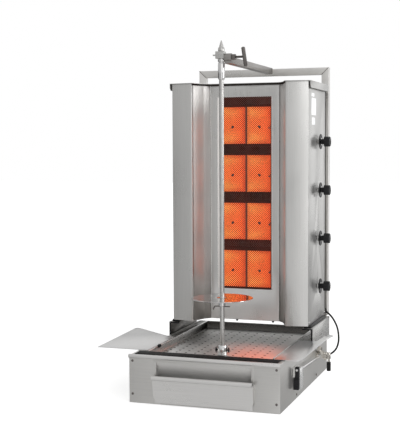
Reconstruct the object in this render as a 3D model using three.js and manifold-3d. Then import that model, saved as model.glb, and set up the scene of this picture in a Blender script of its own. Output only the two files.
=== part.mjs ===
// Vertical gas spit grill: a folded steel base with a drip drawer and a perforated pan, a turning
// spit with a carving disc, and an upright burner head that slides on two rails towards the spit.
// Millimetres. +X right as seen from the front, +Y to the back, +Z up, origin under the base.
import * as THREE from 'three';
import { mergeVertices } from 'three/addons/utils/BufferGeometryUtils.js';
import Module from 'manifold-3d';

const wasm = await Module();
wasm.setup();

// ---------------------------------------------------------------- driving dimensions
const gap = 0.3;
const sheet = 1.5;
const base = { halfWidth: 259, front: -356, back: 356, top: 159.5, wall: 2, flange: 14 };
const pan = { halfWidth: 218, front: -288, back: 338, floor: 134.3, rim: 161.3, flange: 32 };
const drawer = { halfWidth: 164, bottom: 5, top: 62, depth: 556, faceHalfWidth: 172, faceTop: 90 };
const spit = { y: -147, radius: 8, bottom: 145.6, shoulder: 1183, tip: 1207 };
const disc = { radius: 106, top: 332.6, thickness: 2.6, hubRadius: 12, hubBottom: 305.2 };
const pinHeight = 302.9;
const rail = { outer: 270, thickness: 5, inner: 232, front: 56, back: 349, bottom: 125.5, top: 204 };
const head = { halfWidth: 253.5, front: 58, back: 350, bottom: 212, top: 1077.6 };
const win = { y: 127, halfWidth: 102.7, bottom: 327, top: 1029.5, frameHalfWidth: 130.6 };
const burner = { count: 4, pitch: 176, topOfFirst: 994, height: 134, halfWidth: 96.5, y: 149 };
const knobs = { y: 209, first: 866, pitch: 176, skirtRadius: 27.5, gripRadius: 17 };
const post = { outer: 258, size: 27, front: 374, foot: 204.3, top: 1147 };
const arm = { left: 12.3, right: 38, z: 1128, height: 22 };
const clampHeight = 1149.5;
const wing = { bottom: 161.6, top: 163.6 };
const valve = { y: 168, z: 92 };
const cordRadius = 3.5;
const gland = { x: 246.1, y: 366, z: 224.4, radius: 5.5, length: 15.7, slope: 38.5 };

// ---------------------------------------------------------------- materials
function steel(color, roughness = 0.35) {
  return new THREE.MeshStandardMaterial({ color, roughness, metalness: 1 });
}
const materials = {
  brushed: steel(0xb9b8b4),
  satin: steel(0xc4c3bf, 0.28),
  mirror: steel(0xdcdcdc, 0.06),
  dark: steel(0x55534f, 0.5),
  chrome: steel(0xe2e2e2, 0.12),
  ceramic: new THREE.MeshStandardMaterial({ color: 0xe4572a, roughness: 0.9, metalness: 0 }),
  black: new THREE.MeshStandardMaterial({ color: 0x111112, roughness: 0.45, metalness: 0 }),
  rubber: new THREE.MeshStandardMaterial({ color: 0x0c0c0d, roughness: 0.7, metalness: 0 }),
  paint: new THREE.MeshStandardMaterial({ color: 0x4a4c50, roughness: 0.6, metalness: 0 }),
};

// ---------------------------------------------------------------- solids
function toSolid(geometry) {
  const bare = geometry.clone();
  bare.deleteAttribute('normal');
  bare.deleteAttribute('uv');
  const merged = mergeVertices(bare, 1e-4);
  return new wasm.Manifold(new wasm.Mesh({
    numProp: 3,
    vertProperties: new Float32Array(merged.attributes.position.array),
    triVerts: new Uint32Array(merged.index.array),
  }));
}

function toGeometry(solid) {
  const mesh = solid.getMesh();
  const geometry = new THREE.BufferGeometry();
  geometry.setAttribute('position', new THREE.BufferAttribute(mesh.vertProperties, 3));
  geometry.setIndex(new THREE.BufferAttribute(mesh.triVerts, 1));
  geometry.computeVertexNormals();
  return geometry;
}

function join(...solids) {
  return solids.reduce((whole, next) => whole.add(next));
}

function cut(solid, ...tools) {
  return tools.reduce((left, tool) => left.subtract(tool), solid);
}

function block(x0, x1, y0, y1, z0, z1) {
  const geometry = new THREE.BoxGeometry(x1 - x0, y1 - y0, z1 - z0);
  geometry.translate((x0 + x1) / 2, (y0 + y1) / 2, (z0 + z1) / 2);
  return toSolid(geometry);
}

// A centred block: half its width in x, then its ranges in y and z.
function wide(halfWidth, y0, y1, z0, z1) {
  return block(-halfWidth, halfWidth, y0, y1, z0, z1);
}

// An outline pushed along an axis. Outline points are (x, y) along z, (x, z) along y, (y, z) along x.
function prism(axis, points, from, to) {
  const outline = new THREE.Shape(points.map(([a, b]) => new THREE.Vector2(a, b)));
  return prismOf(axis, outline, from, to);
}

function prismOf(axis, outline, from, to, curveSegments = 5) {
  const settings = { depth: to - from, bevelEnabled: false, curveSegments };
  const geometry = new THREE.ExtrudeGeometry(outline, settings);
  const turn = new THREE.Matrix4();
  const [ex, ey, ez] = [[1, 0, 0], [0, 1, 0], [0, 0, 1]].map((v) => new THREE.Vector3(...v));
  if (axis === 'z') geometry.translate(0, 0, from);
  if (axis === 'x') {
    geometry.applyMatrix4(turn.makeBasis(ey, ez, ex));
    geometry.translate(from, 0, 0);
  }
  if (axis === 'y') {
    geometry.applyMatrix4(turn.makeBasis(ex, ez, ey.clone().negate()));
    geometry.translate(0, to, 0);
  }
  return toSolid(geometry);
}

// A round bar along an axis. centre is (y, z) for x, (x, z) for y and (x, y) for z.
function bar(axis, centre, radius, from, to, sides = 20, endRadius = radius) {
  const geometry = new THREE.CylinderGeometry(endRadius, radius, to - from, sides);
  const middle = (from + to) / 2;
  const [a, b] = centre;
  if (axis === 'x') geometry.rotateZ(-Math.PI / 2).translate(middle, a, b);
  if (axis === 'y') geometry.translate(a, middle, b);
  if (axis === 'z') geometry.rotateX(Math.PI / 2).translate(a, b, middle);
  return toSolid(geometry);
}

// The closed outline of a folded sheet: the path, and the path again one thickness to its left.
function folded(path, thickness) {
  const points = path.map(([a, b]) => new THREE.Vector2(a, b));
  const offset = points.map((point, i) => {
    const before = points[Math.max(i - 1, 0)];
    const after = points[Math.min(i + 1, points.length - 1)];
    const along = i === 0 ? after.clone().sub(point) : point.clone().sub(before);
    const next = i === points.length - 1 ? along.clone() : after.clone().sub(point);
    const [n1, n2] = [along, next].map((v) => new THREE.Vector2(-v.y, v.x).normalize());
    const mitre = n1.clone().add(n2).normalize();
    return point.clone().addScaledVector(mitre, thickness / mitre.dot(n1));
  });
  return [...points, ...offset.reverse()].map((v) => [v.x, v.y]);
}

function mirrored(points, side) {
  return points.map(([a, b]) => [a * side, b]);
}

// A round section pushed along a smooth route.
function swept(route, radius, sides, steps) {
  const path = new THREE.CatmullRomCurve3(route.map((p) => new THREE.Vector3(...p)));
  const section = new THREE.Shape();
  for (let i = 0; i < sides; i += 1) {
    const angle = (2 * Math.PI * i) / sides;
    const spot = [radius * Math.cos(angle), radius * Math.sin(angle)];
    if (i === 0) section.moveTo(...spot);
    else section.lineTo(...spot);
  }
  return toSolid(new THREE.ExtrudeGeometry(section, { steps, extrudePath: path }));
}

const machine = new THREE.Group();

function add(name, solid, material, place = [0, 0, 0]) {
  const mesh = new THREE.Mesh(toGeometry(solid), materials[material]);
  mesh.name = name;
  mesh.position.set(...place);
  machine.add(mesh);
}

// ---------------------------------------------------------------- base
const drawerOpening = { halfWidth: 168, bottom: 4, top: 146 };

function baseHousing() {
  const { halfWidth, front, back, top, wall, flange } = base;
  const shell = wide(halfWidth, front, back, 0, top);
  const room = wide(halfWidth - wall, front + wall, back - wall, -1, top - wall);
  const mouth = wide(halfWidth - flange, front + flange, back - flange, top - wall - 1, top + 1);
  const { halfWidth: w, bottom, top: lintel } = drawerOpening;
  return cut(shell, room, mouth, wide(w, front - 1, front + wall + 1, bottom, lintel));
}

// The half-round bead along the upper front edge.
function frontTrim() {
  const bead = new THREE.Shape();
  bead.moveTo(base.front - gap, 150);
  bead.lineTo(base.front - gap, 163.5);
  bead.absarc(base.front - gap, 156.75, 6.75, Math.PI / 2, Math.PI * 1.5, false);
  return prismOf('x', bead, -base.halfWidth - 1, base.halfWidth + 1, 8);
}

// The sloped hood over the drawer, which leaves room for fingers behind its rolled edge.
function fingerRecess() {
  const w = drawerOpening.halfWidth - gap;
  const [upper, lower] = [[base.front + 0.2, 144.8], [base.front + 20, 100]];
  const slope = prism('x', folded([upper, lower], 2), -w, w);
  const cheek = [upper, [upper[0] + 1, upper[1]], [lower[0] + 1, lower[1]], [upper[0], lower[1]]];
  return join(slope, prism('x', cheek, -w, -w + 2), prism('x', cheek, w - 2, w));
}

function baseParts() {
  const { halfWidth, front, back, wall } = base;
  add('base_housing', baseHousing(), 'brushed');
  const inset = wall + gap;
  add('base_floor', wide(halfWidth - inset, front + inset, back - inset, 0, sheet), 'brushed');
  add('front_trim', frontTrim(), 'satin');
  add('finger_recess', fingerRecess(), 'brushed');
}

// ---------------------------------------------------------------- drip pan and perforated plate
function panFrame() {
  const { halfWidth: w, front, back, floor, rim, flange } = pan;
  const bottom = floor - 3.3;
  const walls = wide(w + sheet, front - sheet, back + sheet, bottom, rim);
  const ledge = wide(w - 6, front + 6, back - 6, bottom - 1, rim + 1);
  const room = wide(w, front, back, bottom + sheet, rim + 1);
  const sides = block(-w - flange, w + flange, front - sheet, back + 12, rim - sheet, rim);
  return cut(join(walls, sides), ledge, room);
}

// Drain holes stand in a square grid; the strip on the right stays plain.
function drainPlate() {
  const plate = wide(pan.halfWidth - gap, pan.front + gap, pan.back - gap, pan.floor - sheet, pan.floor);
  const grid = { first: [-202, -252], pitch: [34.3, 35.2], columns: 11, rows: 16 };
  const shaftHole = bar('z', [0, spit.y], 14, pan.floor - 5, pan.floor + 5);
  const holes = [shaftHole];
  for (let column = 0; column < grid.columns; column += 1) {
    for (let row = 0; row < grid.rows; row += 1) {
      const x = grid.first[0] + column * grid.pitch[0];
      const y = grid.first[1] + row * grid.pitch[1];
      if (Math.hypot(x, y - spit.y) < 24) continue;
      holes.push(bar('z', [x, y], 4, pan.floor - 5, pan.floor + 5, 4));
    }
  }
  return plate.subtract(wasm.Manifold.compose(holes));
}

// ---------------------------------------------------------------- drip drawer
function drawerPan() {
  const { halfWidth: w, bottom, top, depth } = drawer;
  const front = base.front + 0.5;
  const outer = wide(w, front, front + depth, bottom, top);
  return cut(outer, wide(w - sheet, front + sheet, front + depth - sheet, bottom + sheet, top + 1));
}

// The scoop-like face leans forward and ends in a rolled grip; its lower corners are cut off.
function drawerFace() {
  const { faceHalfWidth: w, bottom, faceTop: top } = drawer;
  const [low, high] = [[base.front - 3, bottom], [base.front - 16, top]];
  const leaning = prism('x', folded([high, low], 2), -w, w);
  const corner = { across: 14, up: 24 };
  const outline = [
    [-w + corner.across, bottom], [w - corner.across, bottom], [w, bottom + corner.up],
    [w, top + 1], [-w, top + 1], [-w, bottom + corner.up],
  ];
  const back = base.front - gap;
  const lowest = bottom + corner.up;
  const cheek = [[low[0] - 0.5, lowest], [high[0] + 1, top], [back, top], [back, lowest]];
  const sides = [[-w, 2 - w], [w - 2, w]].map(([from, to]) => prism('x', cheek, from, to));
  const roll = bar('x', [base.front - 18, top + 1], 7, -w, w + 1, 16);
  return join(leaning.intersect(prism('y', outline, base.front - 40, back)), ...sides, roll);
}

// ---------------------------------------------------------------- spit drive under the pan
function driveParts() {
  const { y } = spit;
  const inside = base.halfWidth - base.wall - gap;
  add('motor_bracket', join(
    wide(inside, y - 46, y + 60, 66, 68),
    block(-inside, -inside + 2, y - 46, y + 60, 66, 100),
    block(inside - 2, inside, y - 46, y + 60, 66, 100),
  ), 'dark');
  add('drive_gearbox', wide(45, y - 40, y + 50, 68.3, 118), 'paint');
  add('drive_motor', join(
    bar('y', [0, 93], 24, y + 50 + gap, y + 165, 24),
    bar('y', [0, 93], 18, y + 164, y + 175, 24),
  ), 'dark');
  add('drive_shaft', bar('z', [0, y], 9, 118.4, 143), 'chrome');
}

// ---------------------------------------------------------------- spit
const socket = { radius: 17, bottom: 134.9, top: 170, screwHeight: 152 };

function spitSocket() {
  const { radius, bottom, top, screwHeight } = socket;
  const body = bar('z', [0, spit.y], radius, bottom, top, 32);
  const shaftBore = bar('z', [0, spit.y], 9 + gap, bottom - 1, 144);
  const spitBore = bar('z', [0, spit.y], spit.radius + gap, 143.5, top + 1);
  const screwBore = bar('x', [spit.y, screwHeight], 3 + gap, -radius - 1, radius + 1, 12);
  return cut(body, shaftBore, spitBore, screwBore);
}

function thumbScrew(side) {
  const stem = bar('x', [0, 0], 3, 9, 21, 12);
  const grip = join(bar('x', [0, 0], 6, 20, 25, 12), block(20.5, 24.5, -3, 3, -9, 9));
  const screw = join(stem, grip);
  return side > 0 ? screw : screw.mirror([1, 0, 0]);
}

function skewer() {
  const { y, radius, bottom, shoulder, tip } = spit;
  const rod = bar('z', [0, y], radius, bottom, shoulder, 20);
  const cap = bar('z', [0, y], 11, shoulder - 13.4, shoulder, 20);
  const point = bar('z', [0, y], radius, shoulder - 1, tip, 20, 0.4);
  return cut(join(rod, cap, point), bar('x', [y, pinHeight], 2 + gap, -20, 20, 12));
}

function skewerSleeve() {
  const { y } = spit;
  const bore = bar('z', [0, y], spit.radius + gap, 1070, 1145);
  return cut(join(
    bar('z', [0, y], 9.5, 1075, 1079, 24, 11.5),
    bar('z', [0, y], 11.5, 1078.9, 1131, 24),
    bar('z', [0, y], 9.6, 1130, 1135, 24),
    bar('z', [0, y], 11.9, 1134, 1143, 24),
  ), bore);
}

function meatDisc() {
  const { y } = spit;
  const { radius, top, thickness, hubRadius, hubBottom } = disc;
  const plate = bar('z', [0, y], radius, top - thickness, top, 72);
  const hub = bar('z', [0, y], hubRadius, hubBottom, top - thickness + 1, 24);
  return cut(join(plate, hub), bar('z', [0, y], spit.radius + gap, hubBottom - 1, top + 1));
}

function lockingPin() {
  const straight = bar('x', [spit.y, pinHeight], 2, -24, 28, 10);
  const hook = swept([
    [-23, spit.y, pinHeight], [-27, spit.y, pinHeight - 2], [-30, spit.y, pinHeight - 6],
    [-32, spit.y, pinHeight - 12],
  ], 1.9, 8, 6);
  return join(straight, hook);
}

function spitParts() {
  add('spit_socket', spitSocket(), 'chrome');
  add('thumb_screw_left', thumbScrew(-1), 'black', [0, spit.y, socket.screwHeight]);
  add('thumb_screw_right', thumbScrew(1), 'black', [0, spit.y, socket.screwHeight]);
  add('skewer', skewer(), 'satin');
  add('skewer_sleeve', skewerSleeve(), 'chrome');
  add('meat_disc', meatDisc(), 'mirror');
  add('locking_pin', lockingPin(), 'dark');
}

// ---------------------------------------------------------------- rails, portal and upper arm
function sideRail(side) {
  const { outer, thickness, inner, front, back, bottom, top } = rail;
  const web = block(outer - thickness, outer, front, back, bottom, top);
  const shelf = block(inner, outer, front, back, top - thickness, top);
  const reach = base.halfWidth + gap;
  const spacers = [110, 290].map((y) => bar('x', [y, 142], 10, reach, outer - 1, 16));
  const solid = join(web, shelf, ...spacers);
  return side > 0 ? solid : solid.mirror([1, 0, 0]);
}

function portalPost(side) {
  const { outer, size, front, foot, top } = post;
  const outline = [[outer - size, foot], [outer, foot], [outer, top], [outer - size, top - size]];
  const tube = prism('y', outline, front, front + size);
  const hollow = block(outer - size + 2, outer - 2, front + 2, front + size - 2, foot + 4, top - size - 6);
  const cordHole = bar('y', [gland.x, gland.z], 4, front - 1, front + 3, 12);
  const weldVent = bar('y', [outer - size / 2, 230], 3, front + size - 3, front + size + 1, 12);
  const sole = block(outer - size + 2, outer, front - 44, front + size, foot, foot + 4);
  const solid = join(cut(tube, hollow, weldVent, ...(side > 0 ? [cordHole] : [])), sole);
  return side > 0 ? solid : solid.mirror([1, 0, 0]);
}

function topCrossbar() {
  const { outer, size, front, top } = post;
  const w = outer - 0.5;
  const outline = [[-w, top], [w, top], [w - size, top - size], [size - w, top - size]];
  const tube = prism('y', outline, front, front + size);
  return cut(tube, wide(outer, front + 2, front + size - 2, top - size + 2, top - 2));
}

function spitArm() {
  const { left, right, z, height } = arm;
  const end = post.front - gap;
  const tube = block(left, right, spit.y - 3, end, z, z + height);
  const hollow = block(left + 2, right - 2, spit.y + 20, end + 1, z + 2, z + height - 2);
  const boss = bar('x', [spit.y, clampHeight], 12.8, left, right - 1, 24);
  return cut(join(tube, boss), hollow, bar('x', [spit.y, clampHeight], 4 + gap, left + 2, right + 2, 16));
}

function bearingBlock() {
  const body = block(-17, 12, spit.y - 14.5, spit.y + 14.5, 1145, 1169);
  const lockStub = bar('x', [spit.y, 1157.5], 2.5, -30, -16, 12);
  return cut(join(body, lockStub), bar('z', [0, spit.y], spit.radius + gap, 1140, 1175));
}

// Threaded rod, lock nut and slanting T-bar that clamp the bearing block.
function clampScrew() {
  const rod = bar('x', [0, 0], 4, 15, 84, 16);
  const nut = bar('x', [0, 0], 10.4, 38.3, 50.5, 6);
  const grip = bar('z', [81, 0], 6.5, -34, 34, 20);
  const lean = Math.atan2(32, 60) * (180 / Math.PI);
  return join(rod, nut, grip.translate([-81, 0, 0]).rotate([lean, 0, 0]).translate([81, 0, 0]));
}

function frameParts() {
  add('left_rail', sideRail(-1), 'satin');
  add('right_rail', sideRail(1), 'satin');
  add('left_post', portalPost(-1), 'brushed');
  add('right_post', portalPost(1), 'brushed');
  add('top_crossbar', topCrossbar(), 'brushed');
  add('spit_arm', spitArm(), 'brushed');
  add('bearing_block', bearingBlock(), 'satin');
  add('clamp_screw', clampScrew(), 'dark', [0, spit.y, clampHeight]);
}

// ---------------------------------------------------------------- side wings over the pan rim
function leftWing() {
  const outline = new THREE.Shape();
  outline.moveTo(-222, -279);
  outline.lineTo(-409, -279);
  outline.lineTo(-426, 92);
  outline.quadraticCurveTo(-428, 121, -404, 103);
  outline.lineTo(-243, -19.5);
  outline.lineTo(-222, -35);
  return prismOf('z', outline, wing.bottom, wing.top);
}

// The right wing is narrower; its outer strip runs past the rail and ends in a small rolled hook.
function rightWing() {
  const outline = new THREE.Shape();
  outline.moveTo(222, -296);
  outline.lineTo(296, -300);
  outline.quadraticCurveTo(310, -300, 311, -284);
  outline.lineTo(313, 60);
  outline.lineTo(319, 149);
  outline.lineTo(294, 149);
  outline.lineTo(288, 42);
  outline.lineTo(222, 42);
  const plate = prismOf('z', outline, wing.bottom, wing.top);
  return join(plate, bar('x', [149, wing.top + 2], 3.8, 306, 324, 14));
}

// ---------------------------------------------------------------- switch and gas fittings
const leverPivot = [278, 113];

function switchLever() {
  const upper = block(271, 285, 0, 12.5, 80, 123);
  const lower = block(264.5, 285, 0, 12.5, 46, 87);
  return join(upper, lower).translate([-leverPivot[0], 0, -leverPivot[1]]);
}

function gasValve() {
  const { y, z } = valve;
  return join(
    bar('x', [y, z], 18, base.halfWidth + gap, 264, 6),
    bar('x', [y, z], 11, 263, 300, 20),
    bar('x', [y, z], 15, 270, 286, 6),
    bar('z', [272, y], 6.5, z, 122, 16),
    bar('z', [272, y], 9.5, 108, 118, 6),
    bar('y', [292, z - 14.5], 6.5, y, 238, 16),
    bar('y', [292, z - 14.5], 9.5, 204, 216, 6),
  );
}

function gasLever() {
  return join(
    bar('x', [0, 0], 9, 300.3, 311, 18),
    bar('z', [305.5, 0], 4.5, -26, 0, 14),
    bar('z', [305.5, 0], 7.8, -59, -25, 18),
  );
}

function fittingParts() {
  add('switch_box', block(base.halfWidth + gap, 285, -198, -144, 42, 116), 'satin');
  add('switch_lever', switchLever(), 'black', [leverPivot[0], -211, leverPivot[1]]);
  add('gas_valve', gasValve(), 'chrome');
  add('gas_lever', gasLever(), 'rubber', [0, valve.y, valve.z]);
  const conduit = [[275, -143.7, 102], [275, -60, 99], [275, 60, 93], [275, valve.y - 15.3, 89]];
  add('conduit', swept(conduit, 4, 10, 12), 'chrome');
  const sleeve = bar('x', [0, 0], gland.radius, -4, gland.length, 16).rotate([0, gland.slope, 0]);
  add('cord_gland', join(
    sleeve.translate([gland.x, gland.y, gland.z]),
    bar('y', [gland.x, gland.z], gland.radius, gland.y, post.front - gap, 16),
  ), 'black');
  const route = [
    [258.6, 366, 214.5], [269.6, 366.6, 204.8], [278.8, 367.4, 193.2], [286.7, 366.6, 180.8],
    [293.7, 364.2, 168], [299.1, 360.7, 154.8], [302.8, 356.2, 141.2], [305.3, 350.8, 127.6],
    [306.7, 343.9, 114.7], [306.7, 334.5, 103.3], [305.6, 322.9, 94.1], [303.5, 310, 87.1],
    [300.8, 296.3, 82.3], [297.7, 282.2, 79.4], [294.8, 267.8, 78], [292.5, 253.2, 77.5],
    [292, 238.5, 77.5],
  ];
  add('cord', swept(route, cordRadius, 8, 44), 'rubber');
}

// ---------------------------------------------------------------- burner head
const recess = [[180, 20], [174.5, 50], [153.5, 107.5], [133.5, 130.5]];

function headShell() {
  const { halfWidth: w, front, back, bottom, top } = head;
  const outer = wide(w, front, back, bottom, top);
  const room = wide(w - sheet, front - 1, back - sheet, bottom + sheet, top + 1);
  const throat = prism('z', [...recess, ...mirrored(recess, -1).reverse()], bottom - 1, bottom + 5);
  const stems = Array.from({ length: burner.count }, (_, i) => {
    const z = knobs.first - i * knobs.pitch;
    return bar('x', [knobs.y, z], 7, w - 5, w + 5, 12);
  });
  return cut(outer, room, throat, ...stems);
}

// Each front panel turns slightly inwards and ends in a narrow folded nose.
function frontPanel(side) {
  const path = [[253.5, 56.2], [181, 42.2], [174, 42.2], [171.6, 48]];
  return prism('z', folded(mirrored(path, side), -side * sheet), head.bottom, head.top);
}

function reflector(side) {
  const path = [[170.9, 50.5], [150, 106], [131, 128.4]];
  return prism('z', folded(mirrored(path, side), -side * sheet), head.bottom, head.top);
}

function windowFrame() {
  const { y, halfWidth, bottom, top, frameHalfWidth } = win;
  const plate = wide(frameHalfWidth, y, y + sheet, head.bottom, head.top);
  return cut(plate, wide(halfWidth, y - 1, y + 3, bottom, top));
}

// Expanded-metal guard: a thin plate with diamond openings.
function burnerGuard() {
  const y = win.y + sheet + gap;
  const [w, low, high] = [win.halfWidth + 10, win.bottom - 10, win.top + 10];
  const plate = wide(w, y, y + sheet, low, high);
  const [columns, rows] = [4, 12];
  const pitch = [(2 * win.halfWidth) / columns, (win.top - win.bottom) / rows];
  const diamonds = [];
  for (let column = 0; column < columns; column += 1) {
    for (let row = 0; row < rows; row += 1) {
      const x = -win.halfWidth + (column + 0.5) * pitch[0];
      const z = win.bottom + (row + 0.5) * pitch[1];
      const [a, b] = [pitch[0] / 2 - 1.5, pitch[1] / 2 - 1.5];
      diamonds.push(prism('y', [[x - a, z], [x, z - b], [x + a, z], [x, z + b]], y - 1, y + 3));
    }
  }
  return plate.subtract(wasm.Manifold.compose(diamonds));
}

function burnerBody() {
  const rim = 9;
  const w = burner.halfWidth + rim;
  const body = wide(w, burner.y, 215, -burner.height - rim, rim);
  const pocket = wide(burner.halfWidth + gap, burner.y - 1, burner.y + 12.3, -burner.height - gap, gap);
  return cut(body, pocket);
}

function ceramicTiles() {
  const tiles = wide(burner.halfWidth, burner.y, burner.y + 12, -burner.height, 0);
  return cut(tiles, wide(3, burner.y - 1, burner.y + 8, -burner.height - 1, 1));
}

function gasManifold() {
  const lowest = knobs.first - (burner.count - 1) * knobs.pitch;
  const pipe = bar('z', [225, knobs.y], 10, lowest - 60, knobs.first + 30, 16);
  const branches = Array.from({ length: burner.count }, (_, i) => {
    const z = knobs.first - i * knobs.pitch;
    return bar('x', [knobs.y, z], 5.5, burner.halfWidth + 9 + gap, 251.5, 10);
  });
  return join(pipe, ...branches);
}

// Stem, thin skirt and ribbed grip of a control knob, with its axis along x.
function controlKnob() {
  const { skirtRadius, gripRadius } = knobs;
  return join(
    bar('x', [0, 0], 5, 251.9, 267, 14),
    bar('x', [0, 0], skirtRadius, 266, 269, 28),
    bar('x', [0, 0], gripRadius + 1.5, 268.5, 299.5, 20, gripRadius - 1),
    block(280, 300.5, -3, 3, -gripRadius + 1, gripRadius - 1),
  );
}

function topCover() {
  const { top } = head;
  const [plateLow, plateHigh] = [top + gap, top + gap + sheet];
  const [side, back] = [262, 356];
  const edge = [[side, 52], [182, 37], [171, 38], [148.5, 104], [130, 122]];
  const outline = [...edge, ...mirrored(edge, -1).reverse(), [-side, back], [side, back]];
  const plate = prism('z', outline, plateLow, plateHigh);
  const skirt = [[52, plateHigh - 1], [52, 1064], [62, 1054], [back, 1054], [back, plateHigh - 1]];
  const flanges = [-side, side - sheet].map((x) => prism('x', skirt, x, x + sheet));
  const rear = wide(side, back - sheet, back, 1054, plateHigh - 1);
  return join(plate, ...flanges, rear);
}

function headParts() {
  add('head_shell', headShell(), 'brushed');
  add('top_cover', topCover(), 'brushed');
  [['left', -1], ['right', 1]].forEach(([name, side]) => {
    add(`${name}_front_panel`, frontPanel(side), 'brushed');
    add(`${name}_reflector`, reflector(side), 'satin');
    const pad = block(236, 262, 66, 322, rail.top + gap, head.bottom - gap);
    add(`${name}_runner`, side > 0 ? pad : pad.mirror([1, 0, 0]), 'black');
  });
  add('window_frame', windowFrame(), 'brushed');
  add('burner_guard', burnerGuard(), 'dark');
  add('gas_manifold', gasManifold(), 'dark');
  for (let i = 0; i < burner.count; i += 1) {
    add(`burner_body_${i + 1}`, burnerBody(), 'dark', [0, 0, burner.topOfFirst - i * burner.pitch]);
    add(`ceramic_tiles_${i + 1}`, ceramicTiles(), 'ceramic', [0, 0, burner.topOfFirst - i * burner.pitch]);
    add(`gas_knob_${i + 1}`, controlKnob(), 'black', [0, knobs.y, knobs.first - i * knobs.pitch]);
  }
}

// ---------------------------------------------------------------- assembly
baseParts();
add('pan_frame', panFrame(), 'satin');
add('drain_plate', drainPlate(), 'satin');
add('drawer_pan', drawerPan(), 'brushed');
add('drawer_face', drawerFace(), 'satin');
driveParts();
spitParts();
frameParts();
add('left_wing', leftWing(), 'brushed');
add('right_wing', rightWing(), 'mirror');
fittingParts();
headParts();

export default machine;
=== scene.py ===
# Looks of the vertical rotisserie grill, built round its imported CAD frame.
import math

import bmesh
import bpy
from mathutils import Matrix, Vector


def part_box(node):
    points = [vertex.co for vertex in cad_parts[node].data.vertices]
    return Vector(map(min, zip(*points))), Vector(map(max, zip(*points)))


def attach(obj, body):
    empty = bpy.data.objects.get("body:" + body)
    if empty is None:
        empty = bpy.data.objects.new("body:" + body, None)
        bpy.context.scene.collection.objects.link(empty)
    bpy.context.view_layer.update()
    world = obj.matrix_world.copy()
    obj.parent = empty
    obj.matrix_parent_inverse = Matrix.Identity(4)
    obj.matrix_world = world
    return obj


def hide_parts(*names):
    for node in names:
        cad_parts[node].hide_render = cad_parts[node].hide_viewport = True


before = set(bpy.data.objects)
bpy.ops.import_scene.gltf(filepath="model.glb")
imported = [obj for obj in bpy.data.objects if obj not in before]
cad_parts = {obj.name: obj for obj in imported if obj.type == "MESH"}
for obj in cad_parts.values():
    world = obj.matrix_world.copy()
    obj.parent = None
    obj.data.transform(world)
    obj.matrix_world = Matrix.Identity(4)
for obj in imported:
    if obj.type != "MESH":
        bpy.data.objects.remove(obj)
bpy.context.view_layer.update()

MM = 0.001
SCENE = bpy.context.scene

# ------------ the frame's dimensions, in millimetres
def millimetres(node):
    low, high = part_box(node)
    return low / MM, high / MM


HOUSING = millimetres("base_housing")
PLATE = millimetres("drain_plate")
HEAD = millimetres("head_shell")
GUARD = millimetres("burner_guard")
TILES = [millimetres(f"ceramic_tiles_{i}") for i in range(1, 5)]
KNOBS = [millimetres(f"gas_knob_{i}") for i in range(1, 5)]
SPIT_Y = sum(p.y for p in millimetres("skewer")) / 2

# Places that the CAD source sets inside a node, where the node's box doesn't give them.
CLAMP_Z = 1149.5
PIN_Z = 302.9
SCREW_Z = 152.0
VALVE_Y, VALVE_Z = 168.0, 92.0
PORT_Z = VALVE_Z - 14.5
GLAND, GLAND_SLOPE = (246.1, 366, 224.4), 38.5
WINDOW_X, WINDOW_Z = 102.7, (327.0, 1029.5)
GUARD_X = 100.6
RAIL_OUTSIDE, RAIL_INSIDE = 270.6, 231.5
SHEET = 1.5
CORD_RADIUS = 3.5


# ------------ camera
CAMERA_PLACE = (1.05519, -3.44263, 0.84371)
CAMERA_ANGLES = (18.99, 3.86, 0.28)  # degrees: turned left, tipped down, rolled
CAMERA_LENS, CAMERA_SENSOR = 84.375, 36


def make_camera():
    yaw, pitch, roll = (math.radians(a) for a in CAMERA_ANGLES)
    forward = Vector((-math.sin(yaw) * math.cos(pitch), math.cos(yaw) * math.cos(pitch), -math.sin(pitch)))
    level = Vector((math.cos(yaw), math.sin(yaw), 0))
    down = forward.cross(level)
    right = level * math.cos(roll) + down * math.sin(roll)
    up = level * math.sin(roll) - down * math.cos(roll)
    camera = bpy.data.objects.new("camera", bpy.data.cameras.new("camera"))
    camera.data.lens = CAMERA_LENS
    camera.data.sensor_width = CAMERA_SENSOR
    axes = Matrix((right, up, -forward)).transposed().to_4x4()
    camera.matrix_world = Matrix.Translation(CAMERA_PLACE) @ axes
    SCENE.collection.objects.link(camera)
    SCENE.camera = camera


make_camera()


# ------------ node materials
MIX_SHARE, MIX_A, MIX_B, MIX_COLOR = 0, 6, 7, 2  # a Mix node's sockets when it mixes colours


def feed(tree, socket, value):
    if isinstance(value, bpy.types.NodeSocket):
        tree.links.new(value, socket)
    else:
        socket.default_value = value


def mixed(tree, share, a, b):
    mixer = tree.nodes.new("ShaderNodeMix")
    mixer.data_type = "RGBA"
    for socket, value in ((MIX_SHARE, share), (MIX_A, a), (MIX_B, b)):
        feed(tree, mixer.inputs[socket], value)
    return mixer.outputs[MIX_COLOR]


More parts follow.
